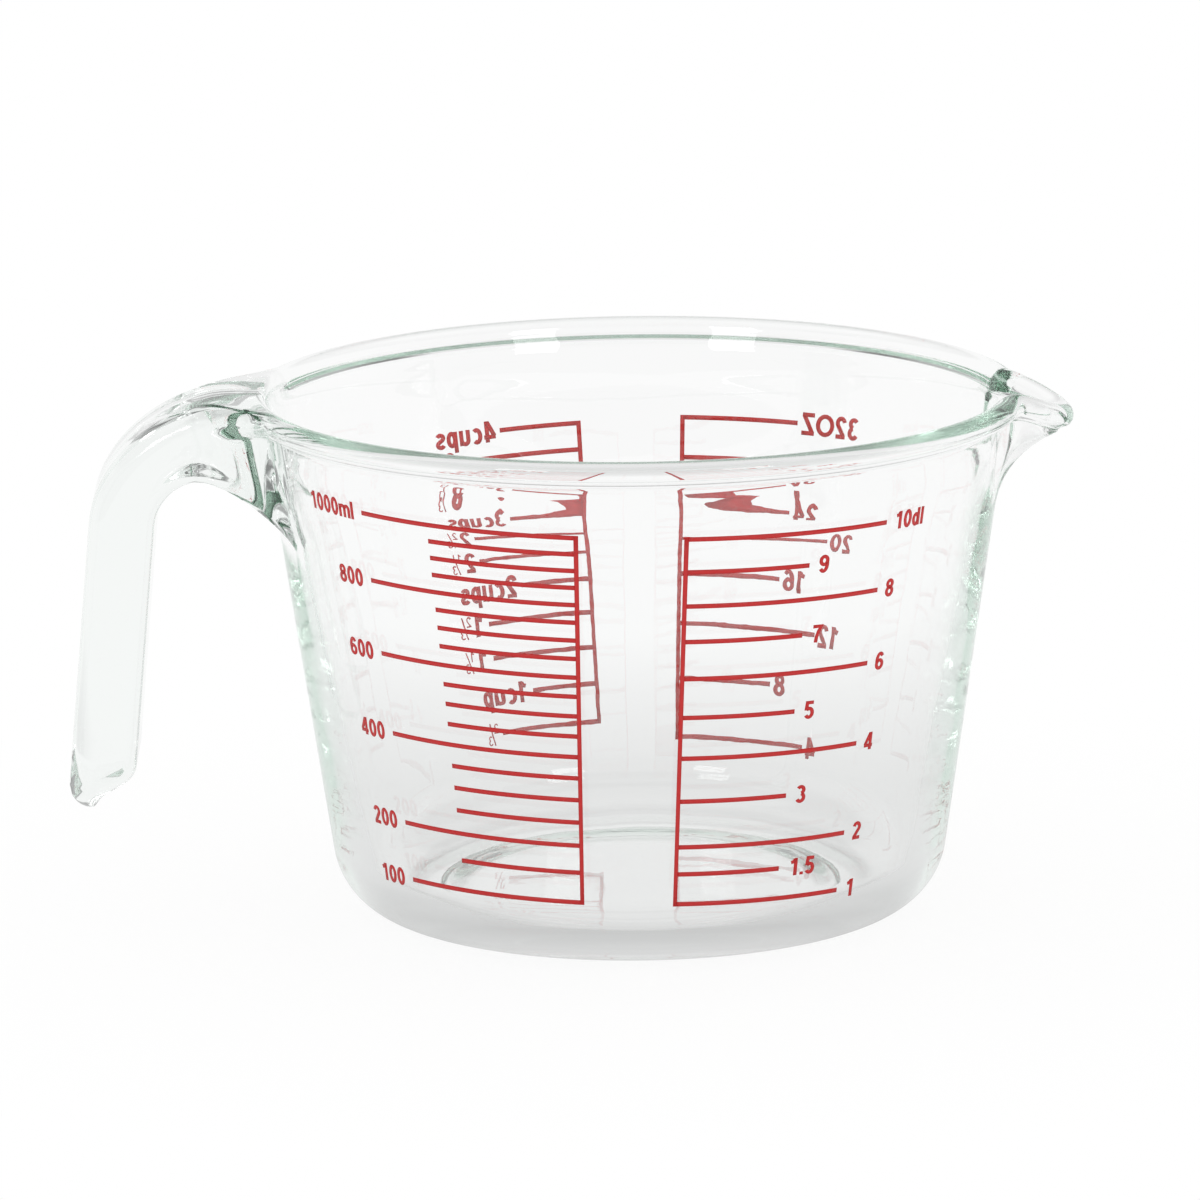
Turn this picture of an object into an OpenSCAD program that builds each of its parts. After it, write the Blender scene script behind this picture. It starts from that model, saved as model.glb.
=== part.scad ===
// Measuring jug: one pressed-glass vessel with its spout and hooked handle, and four printed scales.
// Millimetres, +Z up. The origin is on the vessel's axis, in the plane that the jug stands on.
// The handle points to -X and the spout to +X. The metric scales face -Y, cups and ounces face +Y.

/* [Vessel] */
// Diameter over the rim bead
rim_d = 154.4; // [148:0.1:162]
// Height from the standing plane to the top of the rim bead
jug_h = 104.7; // [100:0.1:112]
// Thickness of the rounded bead round the rim
bead_d = 4.7; // [4.2:0.1:5.4]
// How far the bead stands out from the wall under it
bead_proud = 2.8; // [2.2:0.1:3.2]
// How deep the inner wall's line sinks into the bead, so that the two meet in a clear edge
bead_sink = 0.04; // [0.02:0.01:0.1]
// Diameter of the outer wall, carried down to the standing plane
foot_d = 118; // [112:0.5:124]
// Radius of the rounded heel between wall and base
heel_r = 14.6; // [11:0.1:17]
// Thickness of the floor
floor_t = 4.6; // [4:0.1:6]
// Thickness of the wall where it meets the floor
foot_wall = 6.7; // [5.5:0.1:8]
// Radius of the inside corner between floor and wall
floor_corner_r = 12.3; // [9:0.1:15]
// Diameter of the shallow hollow under the base
hollow_d = 80; // [70:1:86]
// Depth of the hollow under the base
hollow_depth = 0.9; // [0.5:0.1:1.5]

/* [Spout] */
// Width over the beads at both sides of the lip
lip_w = 23.1; // [20:0.1:26]
// How far the lip reaches past the rim bead
lip_reach = 9.6; // [8:0.1:12]
// Angle by which the lip droops towards its tip, in degrees
lip_droop = 27; // [20:1:32]
// Length of the spout's underside along the wall, below the lip's bead
spout_fall = 14; // [11:0.5:17]
// Thickness of the glass under the pouring channel
channel_wall = 3.6; // [3:0.1:4.2]

/* [Handle] */
// Width of the strap
strap_w = 28; // [24:0.5:32]
// Thickness of the strap down the leg
strap_t = 13; // [11:0.1:15]
// How far the handle's arch reaches out past the rim bead
handle_reach = 30.8; // [28:0.1:35]
// Height of the top of the finger gap above the standing plane
gap_top = 89.1; // [84:0.1:91]
// Inside radius of the bend at the top of the leg
bend_r = 8.8; // [7:0.1:11]
// Inside radius where the handle's underside meets the wall
root_fillet_r = 12; // [9:0.5:14]
// Height of the leg's lowest point above the standing plane
leg_end = 23; // [15:0.1:35]
// Angle by which the leg leans out towards its end, in degrees
leg_lean = 5.3; // [3:0.1:7]
// Angle of the slanted end of the leg, in degrees
end_slant = 17; // [10:1:25]
// Radius of the strap's outer edges
outer_edge_r = 4.4; // [3:0.1:5.5]
// Radius of the strap's inner edges
inner_edge_r = 2.6; // [2:0.1:4]
// Radius of the rounding at the end of the leg
end_r = 5; // [4:0.1:6]
// Widening of the strap at each side where it joins the rim
root_flare = 11; // [7:0.5:13]

/* [Scales] */
// Thickness of the fired print
print_t = 0.15; // [0.1:0.05:0.3]
// Clearance between the print and the glass, which keeps their solids from cutting each other
print_gap = 0.02; // [0.01:0.01:0.05]
// Width of the marks and of the upright line
line_w = 0.85; // [0.6:0.05:1.1]
// Angle from the middle of the front to the millilitre line, in degrees
millilitre_at = 9.9; // [7:0.1:12]
// Angle from the middle of the front to the decilitre line, in degrees
decilitre_at = 7; // [5:0.1:12]
// Angle from the middle of the back to the cup line, in degrees
cup_at = 8.7; // [5:0.1:12]
// Angle from the middle of the back to the ounce line, in degrees
ounce_at = 7.9; // [5:0.1:12]
// Arc of the numbered millilitre marks, in degrees
millilitre_arc = 36.6; // [30:0.1:42]
// Arc of the millilitre marks between them, in degrees
millilitre_short_arc = 23.8; // [18:0.1:28]
// Arc of the even decilitre marks, in degrees
decilitre_arc = 33.3; // [28:0.1:38]
// Arc of the odd decilitre marks, in degrees
decilitre_short_arc = 19.7; // [16:0.1:26]
// Arc of the whole cup marks, in degrees
cup_arc = 13.2; // [10:0.1:18]
// Arc of the marks for thirds of a cup, in degrees
third_arc = 21; // [18:0.1:26]
// Arc of the marks at every eighth ounce, in degrees
ounce_arc = 19.4; // [16:0.1:24]
// Arc of the marks halfway between them, in degrees
ounce_long_arc = 28.7; // [25:0.1:34]

/* [Hidden] */
glass_colour = [0.84, 0.92, 0.88, 0.45];
print_colour = [0.80, 0.13, 0.15];

// One overrun for every cut, and the fineness of revolved and lofted shapes
over = 1;
turn_fn = 180;
bead_fn = 48;
corner_steps = 6;
loft_steps = 12;

// Vessel: outer wall line, bead, heel circle
rim_r = rim_d / 2;
foot_r = foot_d / 2;
bead_r = bead_d / 2;
bead_at = rim_r - bead_r;
bead_z = jug_h - bead_r;
wall_lean = atan2(rim_r - bead_proud - foot_r, bead_z);
function outer_r(z) = foot_r + z * tan(wall_lean);
heel_x = outer_r(heel_r) - heel_r / cos(wall_lean);

// Vessel: inner wall line, which leaves the floor's edge and runs nearly tangent into the bead
floor_r = outer_r(floor_t) - foot_wall;
floor_to_bead = [bead_at - floor_r, bead_z - floor_t];
inner_lean = atan2(floor_to_bead[0], floor_to_bead[1]) - asin((bead_r - bead_sink) / norm(floor_to_bead));
function inner_r(z) = floor_r + (z - floor_t) * tan(inner_lean);
bead_touch_z = bead_z + (bead_r - bead_sink) * sin(inner_lean);
corner_z = floor_t + floor_corner_r;
corner_x = inner_r(corner_z) - floor_corner_r / cos(inner_lean);
corner_top = corner_z - floor_corner_r * sin(inner_lean);

// Volume of the cavity up to a height, in cubic millimetres: first the rounded corner, then the cone
function corner_part(u) = PI * ((corner_x * corner_x + floor_corner_r * floor_corner_r) * u - pow(u, 3) / 3
    + corner_x * (u * sqrt(max(0, floor_corner_r * floor_corner_r - u * u))
    + floor_corner_r * floor_corner_r * asin(u / floor_corner_r) * PI / 180));
function corner_volume(z) = corner_part(floor_corner_r) - corner_part(corner_z - z);
function cone_volume(z) = PI / 3 * (pow(inner_r(z), 3) - pow(inner_r(corner_top), 3)) / tan(inner_lean);
function cavity_volume(z) =
    z <= corner_top ? corner_volume(z) : corner_volume(corner_top) + cone_volume(z);

// Height at which the cavity holds a volume in millilitres, found by halving
mm3_per_ml = 1000;
level_steps = 24;
function level(volume, low = floor_t, high = bead_z, left = level_steps) =
    left <= 0 ? (low + high) / 2
    : cavity_volume((low + high) / 2) < volume * mm3_per_ml
        ? level(volume, (low + high) / 2, high, left - 1)
        : level(volume, low, (low + high) / 2, left - 1);

// Scales: volumes of the marks in millilitres, and how much shorter the arcs get down the wall
litre_ml = 1000;
decilitre_ml = litre_ml / 10;
cup_ml = 236.588;
ounce_ml = cup_ml / 8;
arc_taper_share = 0.07;
end_trim = 0.03;
scale_top = level(litre_ml);

// Spout: the lip is a bead on a tilted circle, whose sides are level with the rim
lip_r = lip_w / 2 - bead_r;
lip_x = rim_r + lip_reach - bead_r - lip_r * cos(lip_droop);
lip_along = [cos(lip_droop), -sin(lip_droop)];
lip_up = bead_d * [sin(lip_droop), cos(lip_droop)];
lip_tip = [lip_x, bead_z] + lip_r * lip_along;
lip_back = [lip_x, bead_z] - lip_r * lip_along;
lip_turn = 95;

// Spout: three points of the curve of its underside, and three of the channel's bottom
spout_end = lip_tip - lip_up / 2 + lip_along * bead_r / 4;
spout_foot = [outer_r(spout_end[1] - spout_fall) - channel_wall / 2, spout_end[1] - spout_fall];
spout_pull = [outer_r(spout_end[1]) + bead_d, spout_end[1] - bead_r / 2];
spout_foot_half = lip_r / 4;
spout_root = lip_r;
channel_half = lip_r - bead_r;
channel_end = lip_tip - bead_r * lip_along;
channel_foot = [inner_r(spout_foot[1]) - channel_wall, spout_foot[1]];
channel_pull = spout_pull + channel_wall * [-cos(45), sin(45)];

// Quadratic curve from p, drawn towards q, to r
function bend(p, q, r, t) = (1 - t) * (1 - t) * p + 2 * t * (1 - t) * q + t * t * r;

// Handle: side view of the arch and the leg
bend_z = gap_top - bend_r;
arch_rise = jug_h - bend_z;
arch_x = rim_r + bead_r + (jug_h - bend_z) * tan(leg_lean) / 2;
arch_reach = rim_r + handle_reach - arch_x;
bend_x = rim_r + handle_reach - strap_t / cos(leg_lean) - bend_r;
root_x = outer_r(gap_top - root_fillet_r) + root_fillet_r;
root_in = inner_r(gap_top - root_fillet_r) - bead_d;
root_bury = outer_r(gap_top - root_fillet_r) - root_in;
root_steps = 6;
leg_dir = [-sin(leg_lean), -cos(leg_lean)];
leg_across = [cos(leg_lean), -sin(leg_lean)];
leg_out = [-arch_x - arch_reach, bend_z];
leg_in = [-bend_x - bend_r, bend_z];
leg_out_length = (bend_z - leg_end) / cos(leg_lean);
leg_in_length = leg_out_length - strap_t * tan(end_slant);

// Width of the sloping edge of the hollow under the base
hollow_edge = 2 * hollow_depth;

// Middle of the front and of the back, as angles from +X
front = 270;
back = 90;

// Ring of a loft, in a plane that holds the Y axis, from point a to point b of the XZ plane.
// Its width is 2 * half, and its edges have radius ra at the a side and rb at the b side.
function ring(a, b, half, ra, rb) =
    let (length = norm(b - a), along = (b - a) / length, near = min(ra, half), far = min(rb, half))
    [for (side = [[near, -1, near, 180], [length - far, -1, far, 270],
                  [length - far, 1, far, 0], [near, 1, near, 90]])
        for (step = [0:corner_steps])
            let (turn = side[3] + 90 * step / corner_steps,
                 reach = side[0] + side[2] * cos(turn),
                 across = side[1] * (half - side[2]) + side[2] * sin(turn))
            [a[0] + along[0] * reach, across, a[1] + along[1] * reach]];

// Closed solid through a list of rings with equal numbers of points
module loft(rings) {
    count = len(rings[0]);
    last = len(rings) - 1;
    sides = [for (r = [0:last - 1]) for (p = [0:count - 1])
        let (q = (p + 1) % count)
        each [[r * count + p, r * count + q, (r + 1) * count + p],
              [r * count + q, (r + 1) * count + q, (r + 1) * count + p]]];
    start_cap = [for (p = [1:count - 2]) [0, p + 1, p]];
    end_cap = [for (p = [1:count - 2]) [last * count, last * count + p, last * count + p + 1]];
    polyhedron(points = [for (r = rings) each r], faces = concat(sides, start_cap, end_cap));
}

// Vessel
// Half section of the vessel's outside: heel, wall and bead, filled in to the axis
module outside_section() {
    polygon([[0, 0], [heel_x, 0],
             [heel_x + heel_r * cos(wall_lean), heel_r - heel_r * sin(wall_lean)],
             [outer_r(bead_z), bead_z], [bead_at, bead_z], [bead_at, jug_h], [0, jug_h]]);
    translate([heel_x, heel_r]) circle(heel_r, $fn = turn_fn);
    translate([bead_at, bead_z]) circle(bead_r, $fn = bead_fn);
}

// Half section of the cavity. Above the wall it follows the bead, so that it also trims what joins the rim.
module cavity_section() {
    translate([corner_x, corner_z]) circle(floor_corner_r, $fn = turn_fn);
    difference() {
        polygon([[0, floor_t], [corner_x, floor_t],
                 [corner_x + floor_corner_r * cos(inner_lean), corner_top],
                 [inner_r(bead_touch_z), bead_touch_z], [bead_at, bead_z],
                 [bead_at, jug_h + bead_d], [0, jug_h + bead_d]]);
        translate([bead_at, bead_z]) circle(bead_r, $fn = bead_fn);
    }
}

// Shallow round hollow, which leaves a flat standing ring round it
module base_hollow() {
    translate([0, 0, -hollow_depth])
        cylinder(d1 = hollow_d + 2 * hollow_edge, d2 = hollow_d - 2 * hollow_edge,
                 h = 2 * hollow_depth, $fn = turn_fn);
}

// Spout
// Outside of the spout, which grows from the wall up to the lip
module spout_outside() {
    loft([for (step = [0:loft_steps])
        let (t = step / loft_steps,
             front = bend(spout_foot, spout_pull, spout_end, t),
             back = spout_foot - [spout_root, 0] + t * (lip_back - spout_foot),
             half = spout_foot_half + t * (lip_r + bead_r / 2 - spout_foot_half))
        ring(front, back, half, half, half)]);
}

// Bead round the lip
module lip_bead() {
    translate([lip_x, 0, bead_z]) rotate([0, lip_droop, 0]) rotate([0, 0, -lip_turn])
        rotate_extrude(angle = 2 * lip_turn, $fn = turn_fn)
            translate([lip_r, 0]) circle(bead_r, $fn = bead_fn);
}

// Pouring channel from the cavity out through the lip
module channel() {
    inside = [for (step = [0:loft_steps])
        let (t = step / loft_steps,
             front = bend(channel_foot, channel_pull, channel_end, t),
             back = channel_foot - [spout_root, 0] + t * (lip_back - channel_foot),
             half = spout_foot_half + t * (channel_half - spout_foot_half))
        ring(front, back, half, half, half)];
    above = ring(channel_end + lip_up, lip_back + lip_up, channel_half, channel_half, channel_half);
    loft(concat(inside, [above]));
}

// Handle
// A point of the handle's side view, leaned out below the bend and in above it
function leaned(p) = [p[0] + (p[1] - bend_z) * tan(leg_lean), p[1]];
function arch_outside(turn) = leaned([-arch_x - arch_reach * cos(turn), bend_z + arch_rise * sin(turn)]);
function arch_inside(turn) = leaned([-bend_x - bend_r * cos(turn), bend_z + bend_r * sin(turn)]);
function root_underside(turn) =
    [-root_x + root_fillet_r * cos(turn), gap_top - root_fillet_r * (1 - sin(turn))];

// Half of the strap's width at a distance from the vessel's axis
function strap_half(x) =
    let (t = min(1, max(0, (rim_r + root_flare - x) / root_flare)))
    strap_w / 2 + root_flare * (1 - sqrt(1 - t * t));

// The strap from inside the wall, over the arch and down the leg to its slanted, rounded end
module handle() {
    root = [for (step = [0:root_steps])
        let (t = step / root_steps,
             top = [-root_in - t * (arch_x - root_in - bead_r), jug_h],
             under = root_underside(90 * t) + [(1 - t) * root_bury, 0])
        ring(top, under, strap_half(root_in + t * (arch_x + root_flare - root_in)),
             outer_edge_r, inner_edge_r)];
    arch = [for (step = [0:loft_steps])
        let (turn = 90 - 90 * step / loft_steps)
        ring(arch_outside(turn), arch_inside(turn), strap_w / 2, outer_edge_r, inner_edge_r)];
    leg_end_rings = [for (step = [0:corner_steps])
        let (turn = 90 * step / corner_steps,
             drawn_in = end_r * (1 - cos(turn)),
             back = end_r * (1 - sin(turn)),
             from = leg_out + leg_dir * (leg_out_length - back) + leg_across * drawn_in,
             to = leg_in + leg_dir * (leg_in_length - back) - leg_across * drawn_in,
             thin = norm(to - from) / norm(leg_in - leg_out))
        ring(from, to, strap_w / 2 - drawn_in, outer_edge_r * thin, inner_edge_r * thin)];
    loft(concat(root, arch, leg_end_rings));
}

// The pressed glass: vessel, spout and handle in one piece
module glass_jug() {
    color(glass_colour) difference() {
        union() {
            rotate_extrude($fn = turn_fn) outside_section();
            spout_outside();
            lip_bead();
            handle();
        }
        rotate_extrude($fn = turn_fn) cavity_section();
        channel();
        base_hollow();
    }
}

// Scales
// Thin shell of print on the outer wall, from height low to height high
module print_shell(low, high) {
    rotate_extrude($fn = turn_fn)
        polygon([[outer_r(low) + print_gap, low], [outer_r(low) + print_gap + print_t, low],
                 [outer_r(high) + print_gap + print_t, high], [outer_r(high) + print_gap, high]]);
}

// Block through that shell, from height low to height high and over an arc that starts at an angle.
// Angles run anticlockwise from +X, seen from above.
module block(low, high, start, arc) {
    rotate([0, 0, start]) rotate_extrude(angle = arc, $fn = turn_fn)
        translate([foot_r - over, low]) square([rim_r - foot_r, high - low]);
}

// Block for the mark at the level of a volume, from an upright line at angle at; way is 1 or -1
module mark(volume, at, way, arc) {
    height = level(volume);
    drawn = arc * (1 + arc_taper_share * (height / scale_top - 1 / 2));
    block(height - line_w / 2, height + line_w / 2, way > 0 ? at : at - drawn, drawn);
}

// Scale: an upright line between its lowest and highest marks, and a mark for each volume.
// The shell's ends trim the outermost marks a little, so that they end flush with the line.
module scale_print(volumes, at, way, whole_arc, part_arc, whole) {
    low = level(min(volumes)) - line_w / 2;
    high = level(max(volumes)) + line_w / 2;
    line_arc = line_w / outer_r(high) * 180 / PI;
    color(print_colour) intersection() {
        print_shell(low + end_trim, high - end_trim);
        union() {
            block(low - over, high + over, at - line_arc / 2, line_arc);
            for (volume = volumes)
                mark(volume, at, way, whole(volume) ? whole_arc : part_arc);
        }
    }
}

// Marks at every 50 millilitres, the numbered ones at each 200 and at 100
module millilitre_scale() {
    scale_print([for (v = [2:20]) v * decilitre_ml / 2], front - millilitre_at, -1,
                millilitre_arc, millilitre_short_arc,
                function (v) v % (2 * decilitre_ml) == 0 || v == decilitre_ml);
}

// Marks at every decilitre and at one and a half
module decilitre_scale() {
    scale_print(concat([for (v = [1:10]) v * decilitre_ml], [decilitre_ml * 3 / 2]),
                front + decilitre_at, 1, decilitre_arc, decilitre_short_arc,
                function (v) v % (2 * decilitre_ml) == 0 || v == decilitre_ml);
}

// Marks at every third of a cup from two thirds up
module cup_scale() {
    scale_print([for (third = [2:12]) third * cup_ml / 3], back + cup_at, 1, cup_arc, third_arc,
                function (v) abs(v / cup_ml - round(v / cup_ml)) < 1 / 6);
}

// Marks at every fourth ounce
module ounce_scale() {
    scale_print([for (step = [1:8]) 4 * step * ounce_ml], back - ounce_at, -1, ounce_arc, ounce_long_arc,
                function (v) round(v / ounce_ml) % 8 == 0);
}

glass_jug();
millilitre_scale();
decilitre_scale();
cup_scale();
ounce_scale();
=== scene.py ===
"""Pressed-glass measuring jug with four fired red scales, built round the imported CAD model."""
import math
from functools import partial

import bmesh
import bpy
from mathutils import Matrix, Vector


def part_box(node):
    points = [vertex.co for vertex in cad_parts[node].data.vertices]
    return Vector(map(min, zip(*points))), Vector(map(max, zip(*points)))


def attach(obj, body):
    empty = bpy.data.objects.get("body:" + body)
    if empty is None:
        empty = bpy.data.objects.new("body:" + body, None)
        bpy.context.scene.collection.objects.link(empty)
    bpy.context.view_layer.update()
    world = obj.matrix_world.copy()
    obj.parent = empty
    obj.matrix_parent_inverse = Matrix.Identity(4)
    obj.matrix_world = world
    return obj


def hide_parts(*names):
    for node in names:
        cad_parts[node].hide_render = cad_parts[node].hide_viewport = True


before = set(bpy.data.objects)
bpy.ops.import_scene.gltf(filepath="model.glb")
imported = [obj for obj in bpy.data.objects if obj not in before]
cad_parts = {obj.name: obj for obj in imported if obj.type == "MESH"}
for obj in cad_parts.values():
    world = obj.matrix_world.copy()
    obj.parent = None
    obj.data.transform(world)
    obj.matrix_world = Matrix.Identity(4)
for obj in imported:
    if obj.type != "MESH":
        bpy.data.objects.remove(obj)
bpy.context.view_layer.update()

bl_info = {
    "name": "Measuring jug",
    "version": (1, 0, 0),
    "blender": (4, 5, 0),
    "location": "View3D > Sidebar > Jug",
    "description": "Builds a pressed-glass measuring jug with its printed scales and a plain stage",
    "category": "Add Mesh",
}

GLASS_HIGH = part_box("glass_jug")[1]
RIM_RADIUS = GLASS_HIGH.y
MM = 0.001


# Sizes and colours

def length(name, description, default):
    """A length that can be changed, in metres."""
    return bpy.props.FloatProperty(name=name, description=description, default=default, unit="LENGTH")


def angle(name, description, default):
    """An angle that can be changed, in radians."""
    return bpy.props.FloatProperty(name=name, description=description, default=default, subtype="ANGLE")


def brightness(name, description, default):
    """A brightness that can be changed, where 1 is the white of the picture."""
    return bpy.props.FloatProperty(name=name, description=description, default=default, subtype="FACTOR")


def colour(name, description, default):
    """A colour that can be changed, as sRGB hex."""
    return bpy.props.StringProperty(name=name, description=description + ", as sRGB hex", default=default)


class JugGlassSettings(bpy.types.PropertyGroup):
    """Sizes and colour of the pressed glass."""
    rim_diameter: length("Rim diameter", "Over the rounded rim bead", 2 * RIM_RADIUS)
    height: length("Height", "From the standing plane to the top of the rim bead", GLASS_HIGH.z)
    bead: length("Bead", "Thickness of the rounded bead round the rim", 4.7 * MM)
    bead_proud: length("Bead stands out", "How far the bead stands out from the wall under it", 2.8 * MM)
    bead_root: length("Bead root", "Radius of the hollow between the bead and the wall under it", 1.6 * MM)
    roll: length("Wall roll", "Thickening inside the wall where the ring mould met the body mould", 0.51 * MM)
    roll_below: length("Roll under rim", "How far under the top of the rim the roll is thickest", 6.8 * MM)
    foot_diameter: length("Foot diameter", "Outer wall carried down to the standing plane", 118 * MM)
    heel: length("Heel", "Radius of the rounded heel between wall and base", 14.6 * MM)
    floor: length("Floor", "Thickness of the floor", 4.6 * MM)
    foot_wall: length("Wall at the foot", "Thickness of the wall where it meets the floor", 6.7 * MM)
    corner: length("Inside corner", "Radius between floor and wall inside", 12.3 * MM)
    hollow_diameter: length("Base hollow", "Diameter of the shallow hollow under the base", 80 * MM)
    hollow_depth: length("Hollow depth", "Depth of the hollow under the base", 0.9 * MM)
    lip_width: length("Lip width", "Over the beads at both sides of the lip", 23.1 * MM)
    lip_reach: length("Lip reach", "How far the lip reaches past the rim bead", GLASS_HIGH.x - RIM_RADIUS)
    lip_droop: angle("Lip droop", "Angle by which the lip falls towards its tip", math.radians(27))
    shoulder: length("Shoulder", "How softly the rim turns out into the lip", 8 * MM)
    spout_foot: length("Spout foot", "Height at which the wall starts to swing out under the lip", 81 * MM)
    strap_width: length("Strap width", "Width of the handle's strap", 28 * MM)
    strap: length("Strap", "Thickness of the handle's strap", 13 * MM)
    handle_reach: length("Handle reach", "How far the arch reaches out past the rim bead", 30.8 * MM)
    gap_top: length("Finger gap", "Height of the top of the finger gap", 89.1 * MM)
    bend: length("Bend", "Inside radius at the top of the leg", 8.8 * MM)
    root_fillet: length("Root fillet", "Radius where the handle's underside meets the wall", 12 * MM)
    root_flare: length("Root flare", "Widening of the strap at each side where it joins the rim", 11 * MM)
    leg_end: length("Leg end", "Height of the leg's lowest point", 23 * MM)
    leg_lean: angle("Leg lean", "Angle by which the leg leans out", math.radians(5.3))
    end_slant: angle("End slant", "Angle of the leg's slanted end", math.radians(17))
    outer_edge: length("Outer edges", "Radius of the strap's outer edges", 4.4 * MM)
    inner_edge: length("Inner edges", "Radius of the strap's inner edges", 2.6 * MM)
    end_round: length("End rounding", "Radius of the rounding at the end of the leg", 5 * MM)
    tint: colour("Glass tint", "Faint green of soda-lime glass", "CFE3D8")


class JugPrintSettings(bpy.types.PropertyGroup):
    """Sizes and colour of the fired print."""
    line: length("Line width", "Width of the marks and of the upright lines", 0.94 * MM)
    film: length("Film", "How far the print stands proud of the glass", 0.05 * MM)
    seat: length(
        "Seat", "Distance of the film's underside from the wall, so that they don't cross",
        0.01 * MM)
    metric_tilt: angle("Metric tilt", "How far the metric print sits turned on the wall", 0.022)
    cup_tilt: angle("Cup tilt", "How far the print of cups sits turned on the wall", 0.025)
    ounce_tilt: angle("Ounce tilt", "How far the print of ounces sits turned on the wall", 0.0)
    cup_drop: length("Cup drop", "How far the print of cups sits too low", 1.7 * MM)
    ounce_drop: length("Ounce drop", "How far the print of ounces sits too low", 1.1 * MM)
    low_drop: length(
        "Low marks", "How far the marks of 100 ml sit too low; those of 200 ml are right again",
        1.7 * MM)
    red: colour("Print red", "Colour of the enamel's face", "BE1818")
    # Bonded red is painted light: a brighter copy of the enamel's red for the side fused to the glass, which
    # makes up for the light that the glass takes from the print seen through it
    bonded_red: colour(
        "Bonded red", "Colour of the enamel seen through the glass that it is fused to",
        "EC0A02")


class JugStageSettings(bpy.types.PropertyGroup):
    """Colours and sizes of floor, backdrop and light."""
    floor_size: length("Floor", "Radius of the round floor sheet", 1.6)
    floor_white: colour("Floor colour", "Matte white sheet", "FAFAF9")
    even: brightness("Even light", "Strength of the even light on matte surfaces", 0.97)
    backdrop: brightness("Backdrop", "Brightness of sheet and backdrop as seen through glass", 0.97)
    # Under the jug and the ring at the foot are painted shadow: greys that the glass shows on the sheet in
    # place of the jug's shadow
    under: brightness("Under the jug", "Brightness of the sheet under the jug, as the glass shows it", 0.78)
    foot_ring: brightness(
        "Ring at the foot", "Brightness of the sheet close in front of the foot, as the glass shows it",
        0.60)
    gap: brightness("Gap", "Brightness of the gap between backdrop and ceiling", 0.4)
    ceiling: brightness("Ceiling", "Brightness of the ceiling, as the glass shows it", 0.2)
    lamp: brightness("Lamp", "Brightness straight overhead, as the glass shows it", 0.85)
    room: brightness("Room", "Brightness of the room behind the camera", 0.5)
    panel_light: brightness("Panels", "Brightness of the two soft light panels", 4.5)
    panel_side: length("Panels apart", "Distance of each panel from the middle, to its side", 0.74)
    panel_front: length("Panels in front", "Distance of the panels in front of the jug", 1.1)
    panel_height: length("Panels up", "Height of the panels' middles over the floor", 0.715)


# Small helpers

def linear(code):
    """sRGB hex to linear RGBA."""
    parts = [int(code[i:i + 2], 16) / 255 for i in (0, 2, 4)]
    return tuple(c / 12.92 if c <= 0.04045 else ((c + 0.055) / 1.055) ** 2.4 for c in parts) + (1.0,)


def add_node(tree, kind, settings=None, links=None, stops=()):
    """A node with its attributes or input values, links into its inputs, of which a node stands for
    its first output, and the (place, grey) stops of its ramp."""
    made = tree.nodes.new("ShaderNode" + kind)
    for key, value in (settings or {}).items():
        if isinstance(key, str) and hasattr(made, key):
            setattr(made, key, value)
        else:
            made.inputs[key].default_value = value
    for key, source in (links or {}).items():
        given = source.outputs[0] if isinstance(source, bpy.types.Node) else source
        tree.links.new(given, made.inputs[key])
    for n, (place, grey) in enumerate(stops):
        ramp = made.color_ramp.elements
        stop = ramp[n] if n < 2 else ramp.new(place)
        stop.position, stop.color = place, (grey, grey, grey, 1.0)
    return made


def new_material(name):
    """An empty node material, and what adds a node to it."""
    material = bpy.data.materials.new(name)
    material.use_nodes = True
    material.node_tree.nodes.clear()
    return material, partial(add_node, material.node_tree)


def in_mm(group, *names):
    """The named sizes of a property group, in millimetres."""
    return [getattr(group, name) / MM for name in names]


def make_piece(name, points, faces, material):
    """A smooth mesh object from points in millimetres."""
    mesh = bpy.data.meshes.new(name)
    mesh.from_pydata([[c * MM for c in p] for p in points], [], faces)
    work = bmesh.new()
    work.from_mesh(mesh)
    bmesh.ops.recalc_face_normals(work, faces=work.faces)
    work.to_mesh(mesh)
    work.free()
    mesh.shade_smooth()
    mesh.materials.append(material)
    piece = bpy.data.objects.new(name, mesh)
    bpy.context.scene.collection.objects.link(piece)
    return piece


# The vessel's lines

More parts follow.
